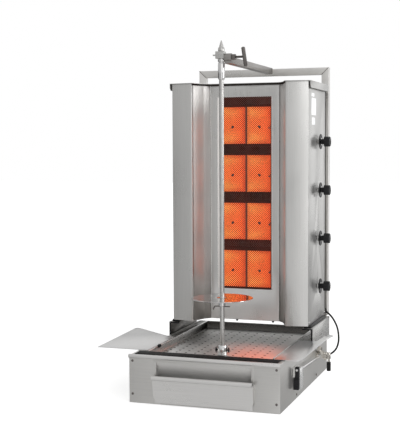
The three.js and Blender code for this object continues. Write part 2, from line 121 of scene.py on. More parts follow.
class Surface:
    """One procedural material: a Principled shader and the nodes that feed it."""

    def __init__(self, name, **sockets):
        self.material = bpy.data.materials.new(name)
        self.material.use_nodes = True
        self.tree = self.material.node_tree
        self.shader = self.tree.nodes["Principled BSDF"]
        for socket, value in sockets.items():
            self.set(socket.replace("_", " "), value)
        self.place = self.node("ShaderNodeTexCoord").outputs["Object"]

    def node(self, kind, inputs=None, **settings):
        made = self.tree.nodes.new(kind)
        for key, value in settings.items():
            setattr(made, key, value)
        for key, value in (inputs or {}).items():
            feed(self.tree, made.inputs[key], value)
        return made

    def set(self, name, value):
        feed(self.tree, self.shader.inputs[name], value)

    def noise(self, scale, detail=3.0, rough=0.55, stretch=(1, 1, 1)):
        mapping = {"Vector": self.place, "Scale": stretch}
        vector = self.node("ShaderNodeMapping", mapping).outputs["Vector"]
        inputs = {"Vector": vector, "Scale": scale, "Detail": detail, "Roughness": rough}
        return self.node("ShaderNodeTexNoise", inputs).outputs["Fac"]

    def spread(self, value, low, high, start=0.3, end=0.7):
        inputs = {"Value": value, "From Min": start, "From Max": end, "To Min": low, "To Max": high}
        return self.node("ShaderNodeMapRange", inputs, interpolation_type="SMOOTHSTEP").outputs["Result"]

    def math(self, operation, a, b=0.0):
        return self.node("ShaderNodeMath", {0: a, 1: b}, operation=operation).outputs["Value"]

    def blend(self, share, a, b):
        return mixed(self.tree, share, a, b)

    def bump(self, height, distance, strength=1.0):
        inputs = {"Height": height, "Distance": distance, "Strength": strength}
        self.set("Normal", self.node("ShaderNodeBump", inputs).outputs["Normal"])


def rgb(red, green, blue):
    return (red, green, blue, 1.0)


def shade(color, factor):
    return rgb(*(min(1.0, c * factor) for c in color[:3]))


def brushed(name, color, rough, grain, depth=1.0, painted_light_and_shade=None, metallic=0.9, streak=0.0):
    """Steel brushed along the axes that grain names, with smudges.

    Painted light and shade is a band given by its axis, its colour, its strength, and the places in metres
    where it is absent and full.
    """
    made = Surface(name, Metallic=metallic, Anisotropic=streak)
    if streak:
        tangent = made.node("ShaderNodeTangent", direction_type="RADIAL", axis="X")
        made.set("Tangent", tangent.outputs["Tangent"])
    fine = made.noise(1.0, 4, 0.65, [7 if axis in grain else 900 for axis in "xyz"])
    band = made.noise(1.0, 2, 0.5, [1.4 if axis in grain else 75 for axis in "xyz"])
    cloud = made.noise(7.0, 3, 0.5)
    tone = made.blend(made.spread(fine, 0, 1), shade(color, 0.94), shade(color, 1.05))
    tone = made.blend(made.spread(band, 0, 0.2), tone, shade(color, 0.93))
    tone = made.blend(made.spread(cloud, 0, 0.35), tone, shade(color, 1.05))
    # Painted light and shade: the steel painted lighter or darker towards one end of an axis.
    if painted_light_and_shade:
        axis, tint, most, none_at, all_at = painted_light_and_shade
        where = made.node("ShaderNodeSeparateXYZ", {"Vector": made.place}).outputs[axis]
        ragged = made.math("ADD", where, made.spread(made.noise(14, 4), -0.03, 0.03, 0.0, 1.0))
        tone = made.blend(made.spread(ragged, 0.0, most, none_at, all_at), tone, tint)
    made.set("Base Color", tone)
    made.set("Roughness", made.math("ADD", made.spread(fine, rough - 0.03, rough + 0.04),
                                    made.spread(cloud, -0.03, 0.05)))
    made.bump(fine, 0.000016 * depth, 0.6)
    return made.material


def polished(name, color, rough, grain="xyz"):
    """Polished metal with faint hairlines and finger smudges."""
    made = Surface(name, Metallic=1.0)
    hair = made.noise(1.0, 2, 0.6, [30 if axis in grain else 1200 for axis in "xyz"])
    smudge = made.noise(22.0, 4, 0.6)
    made.set("Base Color", made.blend(made.spread(smudge, 0, 0.4), color, shade(color, 0.9)))
    made.set("Roughness", made.math("ADD", made.spread(hair, rough, rough + 0.03),
                                    made.spread(smudge, 0.0, 0.05)))
    made.bump(made.noise(9.0, 2, 0.4), 0.0006, 0.25)
    return made.material


def moulded(name, color, rough, grain_scale=1400.0, specular=0.5):
    """Moulded plastic or rubber with a fine leathery grain and dusty patches."""
    made = Surface(name, Specular_IOR_Level=specular)
    cells = {"Vector": made.place, "Scale": grain_scale}
    pores = made.node("ShaderNodeTexVoronoi", cells).outputs["Distance"]
    dust = made.noise(45.0, 4, 0.6)
    made.set("Base Color", made.blend(made.spread(dust, 0, 0.5), color, shade(color, 1.8)))
    made.set("Roughness", made.spread(dust, rough, rough + 0.16))
    made.bump(pores, 0.00012, 0.4)
    return made.material


def enamel(name, color, rough=0.35):
    made = Surface(name, Coat_Weight=0.3, Coat_Roughness=0.2)
    peel = made.noise(420.0, 2, 0.5)
    chips = made.noise(60.0, 5, 0.7)
    made.set("Base Color", made.blend(made.spread(chips, 0, 0.7, 0.55, 0.8), color, shade(color, 1.7)))
    made.set("Roughness", made.spread(chips, rough, rough + 0.2))
    made.bump(peel, 0.0001, 0.5)
    return made.material


def glowing_ceramic():
    """Two perforated tiles to a burner at red heat, with hot ends, darker edges and a dark seam between."""
    made = Surface("ceramic_glow", Roughness=0.85)
    split = made.node("ShaderNodeSeparateXYZ", {"Vector": made.place})
    across = made.math("ABSOLUTE", split.outputs["X"])
    top, pitch = TILES[0][1].z * MM, (TILES[0][1].z - TILES[1][1].z) * MM
    drop = made.math("MODULO", made.math("SUBTRACT", top, split.outputs["Z"]), pitch)
    half_gap, half_width = 0.003, TILES[0][1].x * MM
    tall = (TILES[0][1].z - TILES[0][0].z) * MM
    sides = made.math("MINIMUM", made.math("SUBTRACT", across, half_gap),
                      made.math("SUBTRACT", half_width, across))
    ends = made.math("MINIMUM", drop, made.math("SUBTRACT", tall, drop))
    inner = made.spread(made.math("MINIMUM", sides, ends), 0.0, 1.0, -0.002, 0.022)
    cells = made.node("ShaderNodeCombineXYZ", {"X": split.outputs["X"], "Y": split.outputs["Z"]})
    holes_per_metre = 420.0
    lattice = {"Vector": cells.outputs["Vector"], "Scale": holes_per_metre, "Randomness": 0.0}
    dots = made.node("ShaderNodeTexVoronoi", lattice, voronoi_dimensions="2D").outputs["Distance"]
    hole = made.spread(dots, 1.0, 0.0, 0.18, 0.34)
    mottle = made.noise(24.0, 3, 0.5)
    tile_x = made.math("MODULO", made.math("ADD", split.outputs["X"], half_width), half_width)
    leftness = made.spread(tile_x, 1.0, 0.0, 0.0, half_width)
    from_middle = made.math("ABSOLUTE", made.math("SUBTRACT", drop, tall / 2))
    ends_hot = made.spread(from_middle, 0.0, 1.0, 0.01, 0.055)
    patch = made.math("MULTIPLY", made.math("MULTIPLY", ends_hot, leftness), inner)
    glow = made.blend(inner, rgb(0.62, 0.05, 0.012), rgb(1.0, 0.12, 0.024))
    glow = made.blend(made.math("MULTIPLY", leftness, 0.55), glow, rgb(1.0, 0.26, 0.055))
    glow = made.blend(made.math("MULTIPLY", patch, 0.75), glow, rgb(1.0, 0.42, 0.09))
    glow = made.blend(made.spread(mottle, 0.0, 0.35), glow, rgb(0.75, 0.10, 0.02))
    glow = made.blend(made.math("MULTIPLY", hole, 0.3), glow, rgb(0.42, 0.05, 0.012))
    seam = made.spread(across, 1.0, 0.0, 0.0028, 0.0044)
    glow = made.blend(seam, glow, rgb(0.045, 0.026, 0.020))
    made.set("Emission Color", glow)
    made.set("Emission Strength", 1.5)
    made.set("Base Color", made.blend(mottle, rgb(0.16, 0.06, 0.04), rgb(0.22, 0.08, 0.05)))
    made.bump(hole, -0.0006, 0.7)
    return made.material


def hot_wire():
    """Scaled wire that glows a dull red in patches."""
    made = Surface("guard_wire", Metallic=0.6, Roughness=0.6)
    patch = made.noise(9.0, 3, 0.5)
    scale = made.noise(700.0, 2, 0.5)
    made.set("Base Color", made.blend(scale, rgb(0.05, 0.022, 0.016), rgb(0.09, 0.05, 0.04)))
    made.set("Emission Color", made.blend(made.spread(patch, 0, 1), rgb(0.03, 0.004, 0.002),
                                          rgb(0.14, 0.014, 0.007)))
    made.set("Emission Strength", 0.5)
    made.bump(scale, 0.00005, 0.5)
    return made.material


STEEL = rgb(0.66, 0.655, 0.64)
PANEL = brushed("panel_steel", STEEL, 0.31, "z")
# Window frame: painted light, its lower part painted near white below 0.30 m, fading out by 0.40 m.
FRAME = brushed("frame_steel", STEEL, 0.31, "z", painted_light_and_shade=("Z", rgb(0.95, 0.94, 0.93), 0.8, 0.40, 0.30))
WRAP = brushed("base_steel", rgb(0.67, 0.66, 0.64), 0.34, "xy")
HOOD = brushed("recess_steel", rgb(0.56, 0.55, 0.535), 0.5, "x", metallic=0.3)
SATIN_Y = brushed("satin_steel_y", rgb(0.60, 0.595, 0.58), 0.27, "y")
SATIN_X = brushed("satin_steel_x", rgb(0.80, 0.79, 0.775), 0.31, "x", 0.4)
BOX = brushed("box_steel", rgb(0.88, 0.88, 0.87), 0.25, "z")
# Left rail: a darker copy of the rail steel, painted shade.
RAIL_PAINTED_SHADE = brushed("rail_steel_painted_shade", rgb(0.30, 0.29, 0.275), 0.30, "y")
FLAP = brushed("wing_steel", rgb(0.76, 0.757, 0.75), 0.36, "y")
TUBE = brushed("tube_steel", rgb(0.82, 0.805, 0.78), 0.30, "xyz", 0.5)
# Reflectors: painted shade, darker grey towards the bottom, full below 0.27 m and gone above 0.42 m.
LINER = brushed("reflector_steel", rgb(0.80, 0.78, 0.76), 0.40, "z", 0.6,
                ("Z", rgb(0.36, 0.345, 0.32), 0.8, 0.42, 0.27), metallic=0.85)
# Pan: painted shade, near black towards the back under the head, from 0.04 m to full at 0.31 m.
PAN = brushed("pan_steel", rgb(0.50, 0.49, 0.47), 0.25, "y", 0.4,
              ("Y", rgb(0.10, 0.095, 0.09), 0.95, 0.04, 0.31))
# Spit arm: a darker copy of the tube steel, painted shade for its shaded sides.
ARM_PAINTED_SHADE = brushed("arm_steel_painted_shade", rgb(0.36, 0.345, 0.33), 0.30, "y", 0.5)
TRAY = brushed("tray_steel", rgb(0.78, 0.77, 0.755), 0.38, "x", 0.5, metallic=1.0, streak=0.8)
MIRROR = polished("mirror_steel", rgb(0.80, 0.80, 0.80), 0.05, "x")
MIRROR_SOFT = polished("wing_mirror", rgb(0.98, 0.98, 0.98), 0.27, "y")
CHROME = polished("chrome", rgb(0.78, 0.775, 0.77), 0.10, "z")
ROD = brushed("spit_steel", rgb(0.62, 0.61, 0.595), 0.27, "z", 0.3)
LIP = brushed("lip_steel", rgb(0.90, 0.87, 0.84), 0.5, "z", metallic=0.2)
BRASS = polished("plated_brass", rgb(0.72, 0.69, 0.64), 0.18)
HEATED = brushed("heated_steel", rgb(0.20, 0.185, 0.175), 0.42, "z")
# Near-black steel: soot on the burner bodies, and painted shade where it lines the plate's holes and fills
# the gaps at the head's top and rear edges.
SOOT_AND_SHADE = brushed("burner_steel", rgb(0.035, 0.028, 0.025), 0.55, "z")
WIRE = hot_wire()
BLACK = moulded("black_plastic", rgb(0.008, 0.008, 0.009), 0.30, specular=0.3)
DULL = moulded("black_rubber", rgb(0.010, 0.010, 0.010), 0.6, 900.0, 0.2)
PAINT = enamel("motor_enamel", rgb(0.05, 0.055, 0.065))
PAPER = moulded("blank_label", rgb(0.92, 0.93, 0.94), 0.45, 600.0)
GLOW = glowing_ceramic()


# ------------ mesh tools, in millimetres
def finish_piece(name, bm, body, material, nodes=(), scale=MM, smooth=38):
    bmesh.ops.scale(bm, vec=(scale,) * 3, verts=bm.verts)
    bmesh.ops.recalc_face_normals(bm, faces=bm.faces)
    mesh = bpy.data.meshes.new(name)
    bm.to_mesh(mesh)
    bm.free()
    mesh.shade_smooth()
    mesh.set_sharp_from_angle(angle=math.radians(smooth))
    mesh.materials.append(material)
    piece = bpy.data.objects.new(name, mesh)
    SCENE.collection.objects.link(piece)
    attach(piece, body)
    if nodes:
        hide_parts(*nodes)
    return piece


def merge(target, source, turn=None):
    """Adds a separate shape to a piece's mesh, turned and moved by a matrix."""
    if turn is not None:
        bm_at(source, turn)
    carrier = bpy.data.meshes.new("carrier")
    source.to_mesh(carrier)
    source.free()
    target.from_mesh(carrier)
    bpy.data.meshes.remove(carrier)
    return target


def round_edges(bm, width, angle=40):
    least = math.radians(angle)
    sharp = [e for e in bm.edges if len(e.link_faces) == 2 and e.calc_face_angle(0) > least]
    if sharp:
        bmesh.ops.bevel(bm, geom=sharp, offset=width, offset_type="OFFSET", segments=2, profile=0.5,
                        affect="EDGES", clamp_overlap=True)
    return bm


def moved(x=0.0, y=0.0, z=0.0):
    return Matrix.Translation((x, y, z))


def quarter(axis, way=1):
    """A quarter turn about an axis."""
    return Matrix.Rotation(way * math.pi / 2, 4, axis)


def bm_at(bm, matrix):
    bmesh.ops.transform(bm, matrix=matrix, verts=bm.verts)
    return bm


def span(side, near, far):
    """Two distances from the middle as a low and a high x on one side of it."""
    return sorted((side * near, side * far))


def along(axis):
    """The turn that takes a shape made along z onto an axis."""
    if axis == "x":
        return Matrix(((0, 0, 1), (1, 0, 0), (0, 1, 0))).to_4x4()
    if axis == "y":
        return Matrix(((1, 0, 0), (0, 0, 1), (0, -1, 0))).to_4x4()
    return Matrix.Identity(4)


def lathe(profile, sides=40, flutes=0, depth=0.0):
    """A turned shape along z from (radius, height) points; flutes cut a wavy edge round it."""
    bm = bmesh.new()
    rings = []
    for radius, height in profile:
        if radius <= 1e-6:
            rings.append([bm.verts.new((0, 0, height))])
            continue
        ring = []
        for i in range(sides):
            turn = 2 * math.pi * i / sides
            reach = radius - (depth * (0.5 + 0.5 * math.cos(flutes * turn)) if flutes else 0)
            ring.append(bm.verts.new((reach * math.cos(turn), reach * math.sin(turn), height)))
        rings.append(ring)
    for a, b in zip(rings, rings[1:]):
        for i in range(sides):
            j = (i + 1) % sides
            corners = [a[i % len(a)], a[j % len(a)], b[j % len(b)], b[i % len(b)]]
            unique = list(dict.fromkeys(corners))
            if len(unique) > 2:
                bm.faces.new(unique)
    for ring, closed in ((rings[0], profile[0][0] > 1e-6), (rings[-1], profile[-1][0] > 1e-6)):
        if closed:
            bm.faces.new(ring)
    return bm


def rod(radius, low, high, edge=0.6, sides=32):
    corner = edge * 0.3
    return lathe([(radius - edge, low), (radius - corner, low + corner), (radius, low + edge),
                  (radius, high - edge), (radius - corner, high - corner), (radius - edge, high)], sides)


def nut(radius, low, high, chamfer=1.0):
    """A hexagon nut along z with rounded corners at both faces."""
    return round_edges(lathe([(radius, low), (radius, high)], 6), chamfer, 30)


def box(low, high, edge=0.8):
    bm = bmesh.new()
    bmesh.ops.create_cube(bm, size=1)
    middle = [(a + b) / 2 for a, b in zip(low, high)]
    size = [b - a for a, b in zip(low, high)]
    bm_at(bm, Matrix.Translation(middle) @ Matrix.Diagonal((*size, 1)))
    return round_edges(bm, edge)


def extrude(outline, axis, low, high, edge=0.5):
    """An outline pushed along an axis. Its points are (x, y) for z, (x, z) for y and (y, z) for x."""
    bm = bmesh.new()
    order = {"z": lambda a, b, c: (a, b, c), "y": lambda a, b, c: (a, c, b),
             "x": lambda a, b, c: (c, a, b)}[axis]
    ends = [[bm.verts.new(order(a, b, c)) for a, b in outline] for c in (low, high)]
    count = len(outline)
    bm.faces.new(ends[0])
    bm.faces.new(ends[1][::-1])
    for i in range(count):
        j = (i + 1) % count
        bm.faces.new((ends[0][i], ends[0][j], ends[1][j], ends[1][i]))
    bmesh.ops.recalc_face_normals(bm, faces=bm.faces)
    return round_edges(bm, edge)


def filleted(path, radius, steps=4):
    """The path with an arc at each inner corner."""
    points = [Vector(p) for p in path]
    out = [points[0]]
    for before, corner, after in zip(points, points[1:], points[2:]):
        a, b = before - corner, after - corner
        reach = min(radius, a.length * 0.45, b.length * 0.45)
        start, end = corner + a.normalized() * reach, corner + b.normalized() * reach
        for k in range(steps + 1):
            t = k / steps
            out.append(start * (1 - t) ** 2 + corner * 2 * t * (1 - t) + end * t ** 2)
    return out + [points[-1]]


def folded(path, thickness, bend=2.0):
    """The outline of a sheet bent along a path: the path, and the path again to its left."""
    points = filleted(path, bend)
    shifted = []
    for i, p in enumerate(points):
        step_in = p - points[max(i - 1, 0)] if i else points[1] - p
        step_out = points[i + 1] - p if i < len(points) - 1 else step_in
        normals = [Vector((-s.y, s.x)).normalized() for s in (step_in, step_out)]
        mitre = (normals[0] + normals[1]).normalized()
        shifted.append(p + mitre * (thickness / max(0.3, mitre.dot(normals[0]))))
    return [tuple(p) for p in points + shifted[::-1]]


def tube(points, radius, sides=14):
    """A round bar swept along a path, closed at both ends."""
    bm = bmesh.new()
    path = [Vector(p) for p in points]
    side = Vector((0, 0, 1)).cross(path[1] - path[0])
    side = side.normalized() if side.length > 1e-6 else Vector((1, 0, 0))
    rings = []
    for i, p in enumerate(path):
        ahead = (path[min(i + 1, len(path) - 1)] - path[max(i - 1, 0)]).normalized()
        side = (side - ahead * side.dot(ahead)).normalized()
        other = ahead.cross(side)
        turns = [2 * math.pi * k / sides for k in range(sides)]
        rings.append([bm.verts.new(p + (side * math.cos(t) + other * math.sin(t)) * radius) for t in turns])
    for a, b in zip(rings, rings[1:]):
        for k in range(sides):
            m = (k + 1) % sides
            bm.faces.new((a[k], a[m], b[m], b[k]))
    bm.faces.new(rings[0])
    bm.faces.new(rings[-1])
    return bm


def smooth_path(points, steps=6):
    """Points on a curve that passes through all the given ones."""
    path = [Vector(p) for p in points]
    path = [path[0] * 2 - path[1], *path, path[-1] * 2 - path[-2]]
    out = []
    for a, b, c, d in zip(path, path[1:], path[2:], path[3:]):
        for k in range(steps):
            t = k / steps
            out.append(0.5 * (b * 2 + (c - a) * t + (a * 2 - b * 5 + c * 4 - d) * t * t
                              + (b * 3 - a - c * 3 + d) * t ** 3))
    return out + [path[-2]]


def refined(node, material, body, edge):
    """The node's own shape with its seams closed and its edges rounded."""
    bm = bmesh.new()
    bm.from_mesh(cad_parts[node].data)
    bmesh.ops.remove_doubles(bm, verts=bm.verts, dist=2e-5)
    bmesh.ops.dissolve_limit(bm, angle_limit=math.radians(1), verts=bm.verts, edges=bm.edges)
    bmesh.ops.recalc_face_normals(bm, faces=bm.faces)
    round_edges(bm, edge * MM, 42)
    return finish_piece(f"{node}_shape", bm, body, material, [node], scale=1.0)


# ------------ cord
CORD_ROUTE = [
    (258.6, 366, 214.5), (269.6, 366.6, 204.8), (278.8, 367.4, 193.2), (286.7, 366.6, 180.8),
    (293.7, 364.2, 168), (299.1, 360.7, 154.8), (302.8, 356.2, 141.2), (305.3, 350.8, 127.6),
    (306.7, 343.9, 114.7), (306.7, 334.5, 103.3), (305.6, 322.9, 94.1), (303.5, 310, 87.1),
    (300.8, 296.3, 82.3), (297.7, 282.2, 79.4), (294.8, 267.8, 78), (292.5, 253.2, 77.5),
    (292, 238.5, 77.5),
]


def make_cord():
    route = smooth_path(CORD_ROUTE, 4)
    curve = bpy.data.curves.new("power_cord", "CURVE")
    curve.dimensions = "3D"
    curve.bevel_depth = CORD_RADIUS * MM
    curve.bevel_resolution = 4
    curve.use_fill_caps = True
    line = curve.splines.new("POLY")
    line.points.add(len(route) - 1)
    for point, place in zip(line.points, route):
        point.co = (*(place * MM), 1)
    line.use_smooth = True
    curve.materials.append(DULL)
    cord = bpy.data.objects.new("power_cord", curve)
    SCENE.collection.objects.link(cord)
    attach(cord, "base")
    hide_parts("cord")


make_cord()


# ------------ base and drawer
def screw_head(radius, height):
    """A domed head with a sunk socket, along z."""
    shoulder = height * 0.35
    return lathe([(radius, 0), (radius, shoulder), (radius * 0.82, height * 0.8), (radius * 0.5, height),
                  (radius * 0.42, height), (radius * 0.36, shoulder), (0, shoulder)], 20)


def screws(name, body, places, material, radius, height):
    """Places are (x, y, z, direction the head faces)."""
    turns = {"-y": quarter("X"), "+y": quarter("X", -1), "+x": quarter("Y"), "-x": quarter("Y", -1),
             "-z": quarter("X", 2)}
    bm = bmesh.new()
    for x, y, z, way in places:
        merge(bm, screw_head(radius, height), moved(x, y, z) @ turns[way])
    return finish_piece(name, bm, body, material)


def make_base():
    (left, front, _), (right, back, _) = HOUSING
    refined("base_housing", WRAP, "base", 1.0)
    refined("base_floor", WRAP, "base", 0.4)
    recess, border, hood_sheet = 164.4, 171.5, 1.4
    slope = [(front - 0.3, 145.4), (front + 16.5, 106), (front + 21.5, 90), (front + 23.5, 76)]
    hood = extrude(folded(slope, hood_sheet, 6), "x", -recess, recess, 0.3)
    cheek = [slope[0], (front + 1.2, 145), (front + 22.5, 90), (front - 0.3, 92)]
    for x in (-recess, recess - hood_sheet):
        merge(hood, extrude(cheek, "x", x, x + hood_sheet, 0.2))
    surround = bmesh.new()
    for side in (-1, 1):
        x0, x1 = span(side, 163.8, border)
        merge(surround, box((x0, front - 0.7, 84), (x1, front + 0.1, 147.5), 0.2))
    merge(surround, box((-border, front - 0.72, 142), (border, front + 0.12, 148.6), 0.2))
    finish_piece("recess_surround", surround, "base", WRAP)
    finish_piece("recess_hood", hood, "base", HOOD, ["finger_recess"], smooth=50)
    bead = [(front - 0.3, 163.5)]
    bead += [(front - 0.3 - 6.6 * math.sin(a), 156.75 + 6.75 * math.cos(a))
             for a in (math.pi * k / 18 for k in range(19))]
    finish_piece("front_bead", extrude(bead, "x", left - 1, right + 1, 0.8), "base", SATIN_X,
                 ["front_trim"])
    places = [(x, front, z, "-y") for x in (-247, 247) for z in (30, 141)]
    sides = ((-136, 14), (169, 16))
    places += [(x, y, z, way) for x, way in ((right, "+x"), (left, "-x")) for y, z in sides]
    places += [(x, back, z, "+y") for x in (-230, 0, 230) for z in (20, 140)]
    screws("base_screws", "base", places, HEATED, 4.2, 1.8)


def make_pan():
    refined("pan_frame", PAN, "base", 0.5)
    (left, front, low), (right, back, high) = PLATE
    radius, sides = 4.4, 16
    first, pitch, counts = (-202.0, -252.0), (34.3, 35.2), (11, 16)
    spit_clearance, spit_hole_radius = 24, 12.5
    bm = bmesh.new()
    grid = [first[0] - pitch[0] / 2, first[1] - pitch[1] / 2]
    far = [grid[k] + pitch[k] * counts[k] for k in (0, 1)]
    angles = [2 * math.pi * (k + 0.5) / sides for k in range(sides)]

    def flat(points, z, flip):
        corners = [bm.verts.new((x, y, z)) for x, y in points]
        bm.faces.new(corners[::-1] if flip else corners)

    def cell_edge(x0, y0, x1, y1):
        """Points round a cell, anticlockwise from its lower right side."""
        cx, cy, hx, hy = (x0 + x1) / 2, (y0 + y1) / 2, (x1 - x0) / 2, (y1 - y0) / 2
        points = []
        for c, s in ((math.cos(a), math.sin(a)) for a in angles):
            t = 1 / max(abs(c), abs(s))
            points.append((cx + hx * c * t, cy + hy * s * t))
        return points

    edges = {"left": (0, grid[0]), "right": (0, far[0]), "front": (1, grid[1]), "back": (1, far[1])}
    borders = {name: set() for name in edges}
    for i in range(counts[0]):
        for j in range(counts[1]):
            x0, y0 = grid[0] + i * pitch[0], grid[1] + j * pitch[1]
            cx, cy = x0 + pitch[0] / 2, y0 + pitch[1] / 2
            spit_hole = math.hypot(cx, cy - SPIT_Y) < spit_clearance
            hole = (0.0, SPIT_Y, spit_hole_radius) if spit_hole else (cx, cy, radius)
            outer = cell_edge(x0, y0, x0 + pitch[0], y0 + pitch[1])
            corners = [(x0 + pitch[0], y0 + pitch[1]), (x0, y0 + pitch[1]), (x0, y0), (x0 + pitch[0], y0)]
            inner = [(hole[0] + hole[2] * math.cos(a), hole[1] + hole[2] * math.sin(a)) for a in angles]
            for z, flip in ((high, False), (low, True)):
                for k in range(sides):
                    m = (k + 1) % sides
                    ring = [outer[k], outer[m], inner[m], inner[k]]
                    if (k + 1) % (sides // 4) == 2:
                        ring.insert(1, corners[k // (sides // 4)])
                    flat(ring, z, flip)
            for k in range(sides):
                m = (k + 1) % sides
                walls = [(*inner[k], high), (*inner[m], high), (*inner[m], low), (*inner[k], low)]
                # The hole walls take the second, near-black material: painted shade inside the holes.
                bm.faces.new([bm.verts.new(p) for p in walls]).material_index = 1
            for name, (axis, place) in edges.items():
                borders[name] |= {round(p[1 - axis], 4) for p in outer + corners
                                  if abs(p[axis] - place) < 1e-4}
    margins = [
        [(left, back), (left, front)] + [(grid[0], y) for y in sorted(borders["left"])],
        [(right, front), (right, back)] + [(far[0], y) for y in sorted(borders["right"], reverse=True)],
        [(left, front), (right, front)] + [(x, grid[1]) for x in sorted(borders["front"], reverse=True)],
        [(right, back), (left, back)] + [(x, far[1]) for x in sorted(borders["back"])],
    ]
    for margin in margins:
        flat(margin, high, False)
        flat(margin, low, True)
    rim = [(left, front), (right, front), (right, back), (left, back)]
    for a, b in zip(rim, rim[1:] + rim[:1]):
        bm.faces.new([bm.verts.new(p) for p in ((*a, low), (*b, low), (*b, high), (*a, high))])
    bmesh.ops.remove_doubles(bm, verts=bm.verts, dist=0.002)
    plate = finish_piece("perforated_plate", bm, "base", TRAY, ["drain_plate"])
    # Near-black second material for the hole walls: painted shade.
    plate.data.materials.append(SOOT_AND_SHADE)
    rim_lines = bmesh.new()
    for x in (-217.5, 217.5):
        merge(rim_lines, tube(smooth_path([(x, y, 161.6) for y in (-286, 0, 336)]), 1.8, 12))
    finish_piece("pan_rim_beads", rim_lines, "base", BOX)
    # A black strip between the front bead and the pan: painted shade filling the dark gap there.
    finish_piece("pan_front_shade_strip", box((-246, -341, 158.6), (246, -290.5, 162.2), 0.8), "base", DULL)
    clip = box((-219, -203, 157), (-209, -191, 166), 1.2)
    merge(clip, box((-217, -199, 161), (-206, -195, 169), 1.0))
    finish_piece("rim_clip", clip, "base", BLACK)


def strip(rows, thickness):
    """A sheet from rows of (y, z, half width), each a line across x, thickened to the left of the rows."""
    bm = bmesh.new()
    layers = []
    for layer in (0.0, thickness):
        made = []
        for i, (y, z, w) in enumerate(rows):
            y0, z0, _ = rows[max(i - 1, 0)]
            y1, z1, _ = rows[min(i + 1, len(rows) - 1)]
            normal = Vector((z1 - z0, -(y1 - y0))).normalized() * layer
            made.append([bm.verts.new((x, y + normal.x, z + normal.y)) for x in (-w, w)])
        layers.append(made)
    outer, inner = layers
    for a, b, flip in ((outer[:-1], outer[1:], False), (inner[:-1], inner[1:], True)):
        for p, q in zip(a, b):
            ring = [p[0], p[1], q[1], q[0]]
            bm.faces.new(ring[::-1] if flip else ring)
    for i in range(len(rows) - 1):
        for s in (0, 1):
            bm.faces.new((outer[i][s], outer[i + 1][s], inner[i + 1][s], inner[i][s]))
    for i in (0, -1):
        bm.faces.new((outer[i][0], outer[i][1], inner[i][1], inner[i][0]))
    return bm


def make_drawer():
    refined("drawer_pan", WRAP, "drip_drawer", 0.5)
    low, high = millimetres("drawer_face")
    w = high.x - 1
    foot, neck = Vector((-359.0, low.z)), Vector((-370.6, 80.0))
    rows = []
    for k in range(9):
        p = foot.lerp(neck, k / 8)
        rows.append((p.x, p.y, w - 14 + 14 * min(1.0, k / 2.2)))
    middle, radius = Vector((-374.2, 91.0)), 6.6
    for k in range(27):
        a = math.radians(-62 + 15 * k)
        r = radius - max(0.0, (k - 20) * 0.5)
        rows.append((middle.x + r * math.cos(a), middle.y + r * math.sin(a), w))
    bm = strip(rows, 1.4)
    cheek = [(-359.6, 29), (-371.0, 88), (-356.4, 88), (-356.4, 29)]
    for side in (-1, 1):
        merge(bm, extrude(cheek, "x", *span(side, w, w - 1.6), 0.3))
        x0, x1 = span(side, 147, 168.5)
        merge(bm, box((x0, -358.0, 4), (x1, -356.7, 32), 0.2))
    finish_piece("drawer_front", bm, "drip_drawer", SATIN_X, ["drawer_face"], smooth=30)


# ------------ spit
def make_drive():
    refined("motor_bracket", HEATED, "base", 1.2)
    refined("drive_gearbox", PAINT, "base", 1.2)
    refined("drive_motor", HEATED, "base", 1.2)
    at_spit = moved(0, SPIT_Y)
    shaft = merge(rod(9, 118.4, 143), rod(9.15, 122, 124))
    finish_piece("output_shaft", bm_at(shaft, at_spit), "spit", CHROME, ["drive_shaft"])


